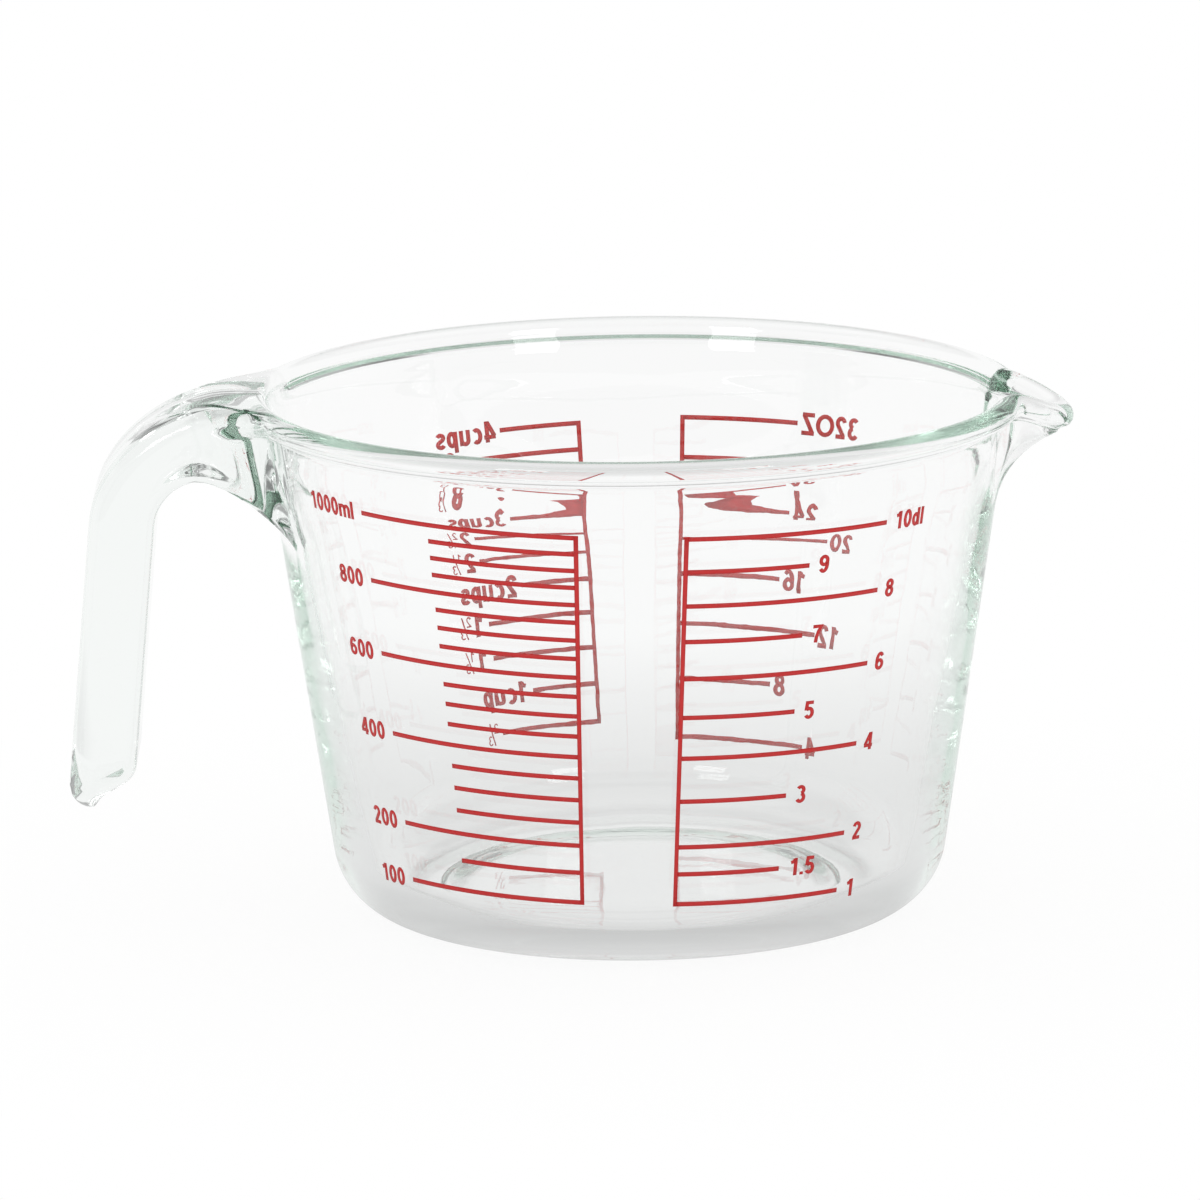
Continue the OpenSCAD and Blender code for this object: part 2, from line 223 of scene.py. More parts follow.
class Vessel:
    """Lines of the vessel's section in millimetres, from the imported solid's sizes, and the roll that is
    added inside its wall."""

    def __init__(self, g):
        rim_d, self.height, bead, proud = in_mm(g, "rim_diameter", "height", "bead", "bead_proud")
        foot_d, self.heel, self.floor = in_mm(g, "foot_diameter", "heel", "floor")
        foot_wall, self.corner = in_mm(g, "foot_wall", "corner")
        self.rim_r, self.bead_r, self.foot_r = rim_d / 2, bead / 2, foot_d / 2
        self.bead_at = self.rim_r - self.bead_r
        self.bead_z = self.height - self.bead_r
        self.lean = math.atan2(self.rim_r - proud - self.foot_r, self.bead_z)
        self.floor_r = self.outer(self.floor) - foot_wall
        run, rise = self.bead_at - self.floor_r, self.bead_z - self.floor
        self.inner_lean = math.atan2(run, rise) - math.asin(self.bead_r / math.hypot(run, rise))
        self.corner_z = self.floor + self.corner
        self.corner_x = self.inner(self.corner_z) - self.corner / math.cos(self.inner_lean)
        self.corner_top = self.corner_z - self.corner * math.sin(self.inner_lean)
        self.touch_z = self.bead_z + self.bead_r * math.sin(self.inner_lean)
        self.roll_t, below = in_mm(g, "roll", "roll_below")
        # The roll fades over 0.4 of its distance from the rim, and 2.4 times as far downwards
        self.roll_z, self.roll_reach, self.roll_down = self.height - below, 0.4 * below, 2.4

    def outer(self, z):
        """Radius of the wall's outside at height z."""
        return self.foot_r + z * math.tan(self.lean)

    def inner(self, z):
        """Radius of the wall's inside at height z, without the roll."""
        return self.floor_r + (z - self.floor) * math.tan(self.inner_lean)

    def roll(self, z):
        """Thickening of the wall at height z: it swells slowly up the wall and ends short of the bead."""
        away = (z - self.roll_z) / (self.roll_reach * (self.roll_down if z < self.roll_z else 1))
        return self.roll_t * math.exp(-away * away)

    def volume(self, z):
        """Millilitres in the cavity up to height z: the rounded corner, then the cone."""
        x, r = self.corner_x, self.corner

        def part(u):
            bow = u * math.sqrt(max(0.0, r * r - u * u)) + r * r * math.asin(max(-1.0, min(1.0, u / r)))
            return math.pi * ((x * x + r * r) * u - u ** 3 / 3 + x * bow)

        low = part(r) - part(self.corner_z - min(z, self.corner_top))
        if z <= self.corner_top:
            return low / 1000
        top, start = self.inner(z), self.inner(self.corner_top)
        return (low + math.pi / 3 * (top ** 3 - start ** 3) / math.tan(self.inner_lean)) / 1000

    def level(self, millilitres):
        """Height at which the cavity holds a volume, found by halving."""
        low, high = self.floor, self.bead_z
        for _ in range(30):
            middle = (low + high) / 2
            if self.volume(middle) < millilitres:
                low = middle
            else:
                high = middle
        return (low + high) / 2


def spaced(start, end, step):
    """Numbers from start to end, both kept, no further apart than step."""
    count = max(1, math.ceil(abs(end - start) / step - 1e-9))
    return [start + (end - start) * i / count for i in range(count + 1)]


def arc(centre, radius, start, end, step):
    """Points of an arc in the section, from angle start to end in degrees."""
    return [(centre[0] + radius * math.cos(math.radians(a)), centre[1] + radius * math.sin(math.radians(a)))
            for a in spaced(start, end, step)]


# Radius of the smallest ring round the middle of base and floor, and width over which the hollow under
# the base runs out, in millimetres
POLE_RING = 8
RUN_OUT = 7


def vessel_rows(v, g):
    """(radius, height) of each row of the vessel, from the middle of the base round the rim to the
    middle of the floor, and the numbers of the rows that bound the handle's root."""
    hollow_d, depth, root, fillet, gap = in_mm(
        g, "hollow_diameter", "hollow_depth", "bead_root", "root_fillet", "gap_top")
    hollow = hollow_d / 2
    rows = [(r, depth) for r in spaced(POLE_RING, hollow - RUN_OUT, 7)]
    # The hollow runs out softly and ends in a fine crease
    rows += [(hollow - RUN_OUT * (1 - t), depth * (0.15 + 0.85 * (0.5 + 0.5 * math.cos(math.pi * t))))
             for t in spaced(0, 1, 0.16)[1:]]
    rows += [(hollow + 0.2, 0), (hollow + 0.8, 0)]
    heel_x = v.outer(v.heel) - v.heel / math.cos(v.lean)
    rows += [((hollow + heel_x) / 2, 0)]
    lean = math.degrees(v.lean)
    rows += arc((heel_x, v.heel), v.heel, -90, -lean, 5)
    heel_top = v.heel * (1 - math.sin(v.lean))
    root_low = gap - fillet
    rows += [(v.outer(z), z) for z in spaced(heel_top, root_low, 6)[1:]]
    low_row = len(rows) - 1
    # Hollow between the wall and the bead's underside: an arc that touches both
    foot = Vector((v.outer(v.bead_z) - v.bead_at, 0))
    along, away = Vector((math.sin(v.lean), math.cos(v.lean))), Vector((math.cos(v.lean), -math.sin(v.lean)))
    q = foot + away * root
    slide = -q.dot(along) - math.sqrt(q.dot(along) ** 2 - q.dot(q) + (v.bead_r + root) ** 2)
    centre = q + along * slide
    wall_end = centre - away * root
    rows += [(v.outer(z), z) for z in spaced(root_low, v.bead_z + wall_end.y, 2)[1:-1]]
    on_wall = 180 - lean
    on_bead = math.degrees(math.atan2(-centre.y, -centre.x))
    rows += arc((v.bead_at + centre.x, v.bead_z + centre.y), root, on_wall, on_bead, 13)
    bead_centre = (v.bead_at, v.bead_z)
    rows += arc(bead_centre, v.bead_r, on_bead - 180, 90, 15)[1:]
    crest_row = len(rows) - 1
    rows += arc(bead_centre, v.bead_r, 90, 180 - math.degrees(v.inner_lean), 15)[1:]
    rolled = v.roll_z - 3 * v.roll_reach
    rows += [(v.inner(z) - v.roll(z), z) for z in spaced(v.touch_z, rolled, 0.75)[1:]]
    rows += [(v.inner(z) - v.roll(z), z) for z in spaced(rolled, root_low, 2)[1:]]
    rows += [(v.inner(z), z) for z in spaced(root_low, v.corner_top, 6)[1:]]
    rows += arc((v.corner_x, v.corner_z), v.corner, -math.degrees(v.inner_lean), -90, 6)[1:]
    rows += [(r, v.floor) for r in spaced(v.corner_x, POLE_RING, 6)[1:]]
    return rows, low_row, crest_row


class RimPath:
    """The bead's centre line seen from above: the rim's circle, which turns out softly into the lip."""

    def __init__(self, v, g):
        width, reach, self.soft = in_mm(g, "lip_width", "lip_reach", "shoulder")
        self.round = v.bead_at
        self.half = width / 2 - v.bead_r
        self.squeeze = math.cos(g.lip_droop)
        self.tip = v.rim_r + reach - v.bead_r
        self.lip_x = self.tip - self.half * self.squeeze
        self.fall = self.half * math.sin(g.lip_droop)

    def off(self, x, y):
        """Distance outside the path, negative inside, with the corner between circle and lip filled."""
        a = math.hypot(x, y) - self.round
        b = (math.hypot((x - self.lip_x) / (self.half * self.squeeze), y / self.half) - 1) * self.half
        near = max(self.soft - abs(a - b), 0) / self.soft
        return min(a, b) - near * near * self.soft / 4

    def at(self, turn):
        """Point of the path in the direction turn."""
        c, s = math.cos(turn), math.sin(turn)
        low, high = self.round - 1, self.tip + 1
        for _ in range(30):
            middle = (low + high) / 2
            if self.off(c * middle, s * middle) < 0:
                low = middle
            else:
                high = middle
        return Vector((c * low, s * low))

    def drop(self, point):
        """How far the lip has fallen at a point of the path."""
        t = max(0.0, min(1.0, (point.x - self.lip_x + 1.5) / (self.tip - self.lip_x + 1.5)))
        return self.fall * t ** 1.35 if abs(point.y) < self.half * 2 else 0.0


# Columns of the vessel over half the handle's root
ROOT_STEPS = 14


def column_turns(path, root_half):
    """Directions of the vessel's columns over half a turn: close together at the lip and at the root."""
    fine = [math.pi * i / 4000 for i in range(4001)]
    points = [path.at(t) for t in fine]
    # Spacing in millimetres up to 16 degrees from the lip's middle, and from 30 degrees on
    close, wide = 0.85, 2.6
    weight = [0.0]
    for a, b, t in zip(points, points[1:], fine):
        share = min(1.0, max(0.0, (math.degrees(t) - 16) / 14))
        weight.append(weight[-1] + (b - a).length / (close + (wide - close) * share))
    edge = math.pi - root_half
    total = weight[min(range(len(fine)), key=lambda i: abs(fine[i] - edge))]
    count = round(total)
    turns, i = [0.0], 0
    for n in range(1, count):
        target = total * n / count
        while weight[i + 1] < target:
            i += 1
        t = (target - weight[i]) / (weight[i + 1] - weight[i])
        turns.append(fine[i] + (fine[i + 1] - fine[i]) * t)
    return turns + [edge + root_half * n / ROOT_STEPS for n in range(ROOT_STEPS + 1)]


# Steps of each rounded edge on one of the strap's sides
EDGE_STEPS = 4


def strap_ring(outside, inside, half, ra, rb, across, down):
    """Ring round the strap between a point of its outside and one of its inside, with rounded edges.
    It has across steps over its width and down steps over its thickness, and starts at +Y outside."""
    o, i = Vector((outside[0], 0, outside[1])), Vector((inside[0], 0, inside[1]))
    depth = i - o
    n, y = depth.normalized(), Vector((0, 1, 0))
    ra, rb = min(ra, half * 0.98, depth.length / 2), min(rb, half * 0.98, depth.length / 2)
    corners = [(o + y * half, ra), (o - y * half, ra), (i - y * half, rb), (i + y * half, rb)]
    outward = [-n, -y, n, y]
    ring = []
    for side in range(4):
        (a, r1), (b, r2) = corners[side], corners[(side + 1) % 4]
        run = (b - a).normalized()
        steps = across if side % 2 == 0 else down
        c1, c2 = a + run * r1 - outward[side] * r1, b - run * r2 - outward[side] * r2
        p1, p2 = c1 + outward[side] * r1, c2 + outward[side] * r2
        for k in range(steps):
            if k < EDGE_STEPS:
                t = math.radians(45 + 45 * k / EDGE_STEPS)
                ring.append(c1 - run * r1 * math.cos(t) + outward[side] * r1 * math.sin(t))
            elif k <= steps - EDGE_STEPS:
                ring.append(p1.lerp(p2, (k - EDGE_STEPS) / (steps - 2 * EDGE_STEPS)))
            else:
                t = math.radians(45 + 45 * (steps - k) / EDGE_STEPS)
                ring.append(c2 + run * r2 * math.cos(t) + outward[side] * r2 * math.sin(t))
    return ring


def hermite(a, ta, b, tb, t):
    """Point between a and b on the curve that leaves along ta and arrives along tb."""
    return (a * (2 * t ** 3 - 3 * t ** 2 + 1) + ta * (t ** 3 - 2 * t ** 2 + t)
            + b * (3 * t ** 2 - 2 * t ** 3) + tb * (t ** 3 - t ** 2))


# Turn of the arch at which the strap has its full form, in degrees, and the rings that lead up to it
ARCH_START = 68
BLEND_RINGS = 12


class Handle:
    """Rings of the strap over the arch and down the leg, in millimetres."""

    def __init__(self, v, g):
        width, self.strap, reach, gap, bend = in_mm(
            g, "strap_width", "strap", "handle_reach", "gap_top", "bend")
        self.leg_end, self.ra, self.rb, self.end_r = in_mm(
            g, "leg_end", "outer_edge", "inner_edge", "end_round")
        self.half, self.lean, self.slant = width / 2, g.leg_lean, g.end_slant
        self.bend, self.bend_z = bend, gap - bend
        self.rise = v.height - self.bend_z
        self.arch_x = v.rim_r + v.bead_r + self.rise * math.tan(self.lean) / 2
        self.arch_reach = v.rim_r + reach - self.arch_x
        self.bend_x = v.rim_r + reach - self.strap / math.cos(self.lean) - bend

    def leaned(self, x, z):
        """Point of the section, moved as the leg leans."""
        return (x + (z - self.bend_z) * math.tan(self.lean), z)

    def oval(self, turn, middle, wide, high):
        """Point of an oval arch at a turn in degrees, 0 at the leg and 90 at the top."""
        a = math.radians(turn)
        return self.leaned(-middle - wide * math.cos(a), self.bend_z + high * math.sin(a))

    def outside(self, turn):
        """Point of the arch's outside."""
        return self.oval(turn, self.arch_x, self.arch_reach, self.rise)

    def inside(self, turn):
        """Point of the arch's inside, round the finger gap."""
        return self.oval(turn, self.bend_x, self.bend, self.bend)

    def rings(self, across, down):
        """Rings from the arch's start to the rounded end of the leg."""
        ring = partial(strap_ring, across=across, down=down)
        made = [ring(self.outside(t), self.inside(t), self.half, self.ra, self.rb)
                for t in spaced(ARCH_START, 0, 5)]
        down_leg = Vector((-math.sin(self.lean), -math.cos(self.lean)))
        inward = Vector((math.cos(self.lean), -math.sin(self.lean)))
        out, inn = Vector(self.outside(0)), Vector(self.inside(0))
        long_side = (self.bend_z - self.leg_end) / math.cos(self.lean)
        short_side = long_side - self.strap * math.tan(self.slant)
        for t in spaced(0, 1, 0.08)[1:]:
            made.append(ring(out + down_leg * (long_side - self.end_r) * t,
                             inn + down_leg * (short_side - self.end_r) * t, self.half, self.ra, self.rb))
        for turn in spaced(0, 90, 11)[1:]:
            a = math.radians(turn)
            drawn, back = self.end_r * (1 - math.cos(a)), self.end_r * (1 - math.sin(a))
            a_side = out + down_leg * (long_side - back) + inward * drawn
            b_side = inn + down_leg * (short_side - back) - inward * drawn
            thin = (b_side - a_side).length / (inn - out).length
            made.append(ring(a_side, b_side, self.half - drawn, self.ra * thin + 0.3, self.rb * thin + 0.3))
        return made


def stitched(last, here):
    """Faces between two rings of point numbers; here may also be the number of one point."""
    return [[a, b] + ([here] if isinstance(here, int) else [here[(n + 1) % len(here)], here[n]])
            for n, (a, b) in enumerate(zip(last, last[1:] + last[:1]))]


def glass_mesh(g):
    """Points and faces of the whole pressing: vessel, spout and handle in one closed skin."""
    v = Vessel(g)
    path, handle = RimPath(v, g), Handle(v, g)
    rows, low_row, crest_row = vessel_rows(v, g)
    flare, spout_foot = in_mm(g, "root_flare", "spout_foot")
    root_half = math.asin((handle.half + flare) / v.bead_at)
    half_turns = column_turns(path, root_half)
    turns = half_turns + [-t for t in reversed(half_turns[1:-1])]
    count = len(turns)
    columns, step = [], 1e-3
    for turn in turns:
        ahead, behind, here = path.at(turn + step), path.at(turn - step), path.at(turn)
        tangent = (ahead - behind).normalized()
        columns.append((Vector((math.cos(turn), math.sin(turn))), here, Vector((tangent.y, -tangent.x)),
                        path.drop(here) if here.x > 0 else 0.0))
    # Height from which the wall follows the rim's path in full
    full = v.bead_z - v.bead_r - 1

    def place(row, column):
        """The vessel's point, which swings out to the lip and falls with it above the spout's foot."""
        r, z = rows[row]
        out, here, normal, fall = columns[column]
        share = max(0.0, min(1.0, (z - spout_foot) / (full - spout_foot))) ** 2
        plan = (out * r).lerp(here + normal * (r - v.bead_at), share)
        return Vector((plan.x, plan.y, z - fall * share))

    points, index = [], {}
    middle = len(half_turns) - 1
    side = range(middle - ROOT_STEPS, middle + ROOT_STEPS + 1)
    for row in range(len(rows)):
        for column in range(count):
            if low_row < row < crest_row and side[0] < column < side[-1]:
                continue
            index[row, column] = len(points)
            points.append(place(row, column))
    faces = []
    for row in range(len(rows) - 1):
        for column in range(count):
            after = (column + 1) % count
            if low_row <= row < crest_row and side[0] <= column < side[-1]:
                continue
            faces.append([index[row, column], index[row, after],
                          index[row + 1, after], index[row + 1, column]])
    for row, height in ((0, rows[0][1]), (len(rows) - 1, v.floor)):
        faces += stitched([index[row, c] for c in range(count)], len(points))
        points.append(Vector((0, 0, height)))

    # Edge of the opening in the outer skin, in the same order as a ring of the strap
    across, down = 2 * ROOT_STEPS, crest_row - low_row
    edge = [(crest_row, c) for c in range(side[0], side[-1])]
    edge += [(row, side[-1]) for row in range(crest_row, low_row, -1)]
    edge += [(low_row, c) for c in range(side[-1], side[0], -1)]
    edge += [(row, side[0]) for row in range(low_row, crest_row)]
    rings = handle.rings(across, down)
    first, second = rings[:2]
    top, up_wall = Vector((-1, 0, 0)), Vector((0, math.sin(v.lean), math.cos(v.lean)))
    # Ways on which the skin leaves the opening's edge, and how far each carries, in millimetres
    leave = []
    for row, column in edge:
        out = columns[column][0]
        sideways = Vector((-out.y, out.x, 0)) * (1 if column < middle else -1)
        up = Vector((out.x * up_wall.y, out.y * up_wall.y, up_wall.z))
        low = (row - low_row) / down
        centre = abs(column - middle) / ROOT_STEPS
        if row == crest_row:
            way = top.lerp(sideways, max(0.0, centre * 3 - 2) * 0.6) * (16 + 4 * centre)
        elif row == low_row:
            way = up.lerp(sideways, max(0.0, centre * 3 - 2) * 0.5) * 21
        else:
            corner_low, corner_high = max(0.0, 1 - low * 3) * 0.5, max(0.0, low * 3 - 2) * 0.4
            way = sideways.lerp(up, corner_low).lerp(top, corner_high) * 20
        leave.append(way)
    last = [index[key] for key in edge]
    carry = 20
    arrive = [(b - a).normalized() * carry for a, b in zip(first, second)]
    blend = [[hermite(points[start], leave[n], first[n], arrive[n], k / BLEND_RINGS)
              for n, start in enumerate(last)] for k in range(1, BLEND_RINGS)]
    centre = sum(rings[-1], Vector((0, 0, 0))) / len(edge)
    closing = [[centre.lerp(p, shrink) for p in rings[-1]] for shrink in (0.6, 0.25)]
    for ring in blend + rings + closing:
        here = list(range(len(points), len(points) + len(edge)))
        points += ring
        faces += stitched(last, here)
        last = here
    faces += stitched(last, len(points))
    points.append(centre)
    return points, faces


# Materials

def pressed_glass(g):
    """Soda-lime glass, pressed and fire-polished: clear, with a faint green that gathers where the
    glass is deep, and long soft waves left by the mould that bend what is seen through it."""
    material, node = new_material("Soda-lime glass, pressed and fire-polished")
    place = node("TexCoord").outputs["Object"]
    # Mould waves about 22 mm long, and finer flow marks about 5 mm long
    wave = node("TexNoise", {"Scale": 1 / (22 * MM), "Detail": 1.0, "Roughness": 0.4}, {"Vector": place})
    flow = node("TexNoise", {"Scale": 1 / (5 * MM), "Detail": 2.0, "Roughness": 0.5}, {"Vector": place})
    soft = node("Bump", {"Strength": 1.0, "Distance": 0.10 * MM}, {"Height": wave})
    both = node("Bump", {"Strength": 1.0, "Distance": 0.006 * MM}, {"Height": flow, "Normal": soft})
    # Chill wrinkles on the outside of the heel, where the hot gob met the cold mould: 10 mm long and
    # about 1 mm high. They fade out from 8 to 24 mm up. Inwards they end on a cone between the wall's
    # two faces, which leans out by half its height, so the inside stays smooth
    axes = node("SeparateXYZ", None, {0: place})
    flat = node("VectorMath", {"operation": "MULTIPLY", 1: (1, 1, 0)}, {0: place})
    radius = node("VectorMath", {"operation": "LENGTH"}, {0: flat}).outputs["Value"]
    past = node("Math", {"operation": "MULTIPLY_ADD", 1: -0.5}, {0: axes.outputs["Z"], 2: radius})
    outside = node("MapRange", {"From Min": 48 * MM, "From Max": 50 * MM}, {"Value": past})
    low = node("MapRange", {"From Min": 8 * MM, "From Max": 24 * MM, "To Min": 1.0, "To Max": 0.0},
               {"Value": axes.outputs["Z"]})
    chilled = node("Math", {"operation": "MULTIPLY"}, {0: outside, 1: low})
    flatter = node("VectorMath", {"operation": "MULTIPLY", 1: (1, 1, 8)}, {0: place})
    wrinkle = node("TexNoise", {"Scale": 1 / (10 * MM), "Detail": 0.5}, {"Vector": flatter})
    rough = node("Bump", {"Distance": 0.016 * MM}, {"Height": wrinkle, "Strength": chilled, "Normal": both})
    glass = node("BsdfPrincipled", {"Base Color": linear("FFFFFF"), "Roughness": 0.0, "IOR": 1.52,
                                    "Transmission Weight": 1.0}, {"Normal": rough})
    # The tint's colour is about reached after 1 / 5.5 m of glass
    depth = node("VolumeAbsorption", {"Color": linear(g.tint), "Density": 5.5})
    node("OutputMaterial", None, {"Surface": glass, "Volume": depth})
    return material


def fired_enamel(red):
    """Red ceramic enamel, screen-printed and fired: a glossy film of even colour, very slightly mottled.
    It is made in two reds, and the brighter one, for the side fused to the glass, is painted light that makes
    up for the light the glass takes from the print seen through it."""
    material, node = new_material("Red ceramic enamel, screen-printed and fired")
    # Mottling about 1.5 mm across, as a screen's mesh leaves it
    mottle = node("TexNoise", {"Scale": 1 / (1.5 * MM), "Detail": 3.0},
                  {"Vector": node("TexCoord").outputs["Object"]})
    shade = node("Mix", {"data_type": "RGBA", 6: linear(red), 7: [min(1.0, c * 1.2) for c in linear(red)]},
                 {0: mottle})
    gloss = node("MapRange", {"To Min": 0.28, "To Max": 0.42}, {"Value": mottle})
    relief = node("Bump", {"Strength": 0.5, "Distance": 0.01 * MM}, {"Height": mottle})
    film = node("BsdfPrincipled", {"IOR": 1.5},
                {"Base Color": shade.outputs[2], "Roughness": gloss, "Normal": relief})
    node("OutputMaterial", None, {"Surface": film})
    return material


# The printed scales

class Print:
    """Collects one scale's film on the outer wall. A place on the wall is an angle from +X in degrees
    and a height in millimetres."""

    def __init__(self, v, p, line_turn, tilt, drop=0.0, low_drop=0.0):
        self.v, self.line_turn, self.tilt, self.drop, self.low_drop = v, line_turn, tilt, drop, low_drop
        self.line, self.film, self.seat = in_mm(p, "line", "film", "seat")
        self.points, self.faces = [], []

    def wrap(self, turn, z, raised):
        """Point of the film at a place on the wall, turned by the print's tilt about the middle of the
        side that it is on."""
        side = NEAR if self.line_turn > 180 else FAR
        swing = math.radians(turn - side)
        up = z - self.tilt * self.v.outer(z) * math.sin(swing)
        a = math.radians(turn) + self.tilt * (z - 50) / self.v.outer(z)
        r = self.v.outer(up) + raised
        return (r * math.cos(a), r * math.sin(a), up)

    def band(self, low, high, start, end):
        """Strip of film between two heights and two angles."""
        rungs = spaced(start, end, 1.2)
        tall = spaced(low, high, 6)
        base = len(self.points)
        for raised in (self.seat, self.film):
            for z in tall:
                self.points += [self.wrap(turn, z, raised) for turn in rungs]
        n, m = len(rungs), len(tall)

        def at(layer, i, j):
            return base + layer * n * m + i * n + j

        for i in range(m - 1):
            for j in range(n - 1):
                for layer in (0, 1):
                    self.faces.append([at(layer, i, j), at(layer, i, j + 1),
                                       at(layer, i + 1, j + 1), at(layer, i + 1, j)])
        rim = [(0, j) for j in range(n - 1)] + [(i, n - 1) for i in range(m - 1)]
        rim += [(m - 1, j) for j in range(n - 1, 0, -1)] + [(i, 0) for i in range(m - 1, 0, -1)]
        for a, b in zip(rim, rim[1:] + rim[:1]):
            self.faces.append([at(0, *a), at(0, *b), at(1, *b), at(1, *a)])

    def stroke(self, points, half, place):
        """One pen stroke as a closed strip; place sets a point of the strip on the wall."""
        ring = points[0] == points[-1]
        path = [Vector(p) for p in (points[:-1] if ring else points)]
        count, base = len(path), len(self.points)
        for n, here in enumerate(path):
            before = path[n - 1] if n or ring else here
            after = path[(n + 1) % count] if n < count - 1 or ring else here
            arrive, leave = (here - before).normalized(), (after - here).normalized()
            run = (arrive + leave).normalized()
            wide = half / max(0.6, run.dot(leave if leave.length else arrive))
            off = Vector((-run.y, run.x)) * wide
            for point in (here + off, here - off):
                self.points += [place(point, self.seat), place(point, self.film)]
        for n in range(count if ring else count - 1):
            a, b = base + 4 * n, base + 4 * ((n + 1) % count)
            self.faces += [[a, b, b + 2, a + 2], [a + 1, a + 3, b + 3, b + 1],
                           [a, a + 1, b + 1, b], [a + 2, b + 2, b + 3, a + 3]]
        if not ring:
            last = base + 4 * (count - 1)
            self.faces += [[base, base + 2, base + 3, base + 1], [last, last + 1, last + 3, last + 2]]

    def words(self, text, turn, z, tall, anchor, weight=0.2):
        """Numerals or a unit, tall high, whose left or right end stands at an angle. Gives their width."""
        broad = tall * BROAD
        width = sum(GLYPHS[c][0] for c in text) * broad
        start = {"left": 0, "right": -width}[anchor]
        for c in text:
            advance, strokes = GLYPHS[c]

            def place(p, raised):
                along = start + p[0] * broad
                here = turn + math.degrees(along / self.v.outer(z))
                return self.wrap(here, z + (p[1] - 0.5) * tall, raised)

            for points in strokes:
                self.stroke(points, weight / 2, place)
            start += advance * broad
        return width

    def scale(self, marks, way, labels, tall, gap):
        """Upright line, its marks [(millilitres, arc)] and the labels beside them."""
        heights = [self.v.level(m) - self.drop - self.low_drop * max(0.0, 2 - m / 100) ** 1.4
                   for m, _ in marks]
        low, high = min(heights) - self.line / 2, max(heights) + self.line / 2
        half_line = math.degrees(self.line / 2 / self.v.outer(high))
        self.band(low, high, self.line_turn - half_line, self.line_turn + half_line)
        for (millilitres, width), z in zip(marks, heights):
            near, far = self.line_turn + way * half_line * 0.9, self.line_turn + way * width
            self.band(z - self.line / 2, z + self.line / 2, min(near, far), max(near, far))
            if millilitres in labels:
                turn = far + way * math.degrees(gap / self.v.outer(z))
                labels[millilitres](self, turn, z, tall, "left" if way > 0 else "right")


def bow(x, y, wide, high, start, end):
    """Points of an oval pen stroke about (x, y), from angle start to end in degrees."""
    points = [(x + wide * math.cos(math.radians(a)), y + high * math.sin(math.radians(a)))
              for a in spaced(start, end, 20)]
    return points[:-1] + points[:1] if abs(end - start) == 360 else points


# Pen strokes of each character on a cap height of 1, with the character's width first
GLYPHS = {
    "0": (0.64, [bow(0.32, 0.5, 0.185, 0.42, 0, 360)]),
    "1": (0.64, [[(0.42, 0), (0.42, 1)], [(0.16, 0.76), (0.30, 0.80), (0.38, 0.93)]]),
    "2": (0.64, [bow(0.31, 0.70, 0.175, 0.22, 170, -25) + [(0.16, 0.10)], [(0.08, 0.08), (0.55, 0.08)]]),
    "3": (0.64, [bow(0.30, 0.735, 0.165, 0.185, 150, -80), bow(0.305, 0.30, 0.185, 0.22, 80, -155)]),
    "4": (0.64, [[(0.43, 0), (0.43, 1)], [(0.40, 0.96), (0.10, 0.29)], [(0.04, 0.25), (0.58, 0.25)]]),
    "5": (0.64, [[(0.54, 0.92), (0.19, 0.92), (0.15, 0.48)], bow(0.31, 0.33, 0.185, 0.25, 140, -150)]),
    "6": (0.64, [bow(0.32, 0.31, 0.185, 0.23, 0, 360), bow(0.34, 0.50, 0.205, 0.42, 40, 190)]),
    "7": (0.64, [[(0.08, 0.92), (0.52, 0.92), (0.39, 0.62), (0.30, 0.30), (0.27, 0)]]),
    "8": (0.64, [bow(0.32, 0.735, 0.16, 0.185, 0, 360), bow(0.32, 0.30, 0.185, 0.22, 0, 360)]),
    "9": (0.64, [bow(0.32, 0.69, 0.185, 0.23, 0, 360), bow(0.30, 0.50, 0.205, 0.42, 220, 370)]),
    ".": (0.28, [[(0.14, 0), (0.14, 0.17)]]),
    "/": (0.34, [[(0.04, -0.06), (0.30, 1.06)]]),
    "c": (0.56, [bow(0.29, 0.36, 0.17, 0.29, 50, 310)]),
    "d": (0.62, [bow(0.28, 0.36, 0.16, 0.29, 0, 360), [(0.47, 0), (0.47, 1)]]),
    "l": (0.27, [[(0.135, 0), (0.135, 1)]]),
    "m": (0.92, [[(0.13, 0), (0.13, 0.72)], bow(0.30, 0.49, 0.165, 0.16, 180, 0) + [(0.465, 0)],
                 bow(0.63, 0.49, 0.165, 0.16, 180, 0) + [(0.795, 0)]]),
    "p": (0.62, [bow(0.33, 0.36, 0.16, 0.29, 0, 360), [(0.14, -0.27), (0.14, 0.72)]]),
    "s": (0.56, [bow(0.28, 0.52, 0.155, 0.13, 20, 230) + bow(0.28, 0.20, 0.16, 0.13, 50, -160)]),
    "u": (0.62, [[(0.14, 0.72)] + bow(0.30, 0.24, 0.16, 0.17, 180, 360), [(0.47, 0), (0.47, 0.72)]]),
    "O": (0.92, [bow(0.46, 0.5, 0.35, 0.42, 0, 360)]),
    "Z": (0.72, [[(0.07, 0.92), (0.64, 0.92)], [(0.57, 0.92), (0.14, 0.08)], [(0.06, 0.08), (0.66, 0.08)]]),
}
# Stretch of the characters' widths, and a cup in millilitres
BROAD = 1.13
CUP_ML = 236.588
# Directions of the near and the far side, in degrees from the spout
NEAR, FAR = 270, 90


def plain(text):
    """A label that is one run of characters."""
    return lambda film, turn, z, tall, anchor: film.words(text, turn, z, tall, anchor)


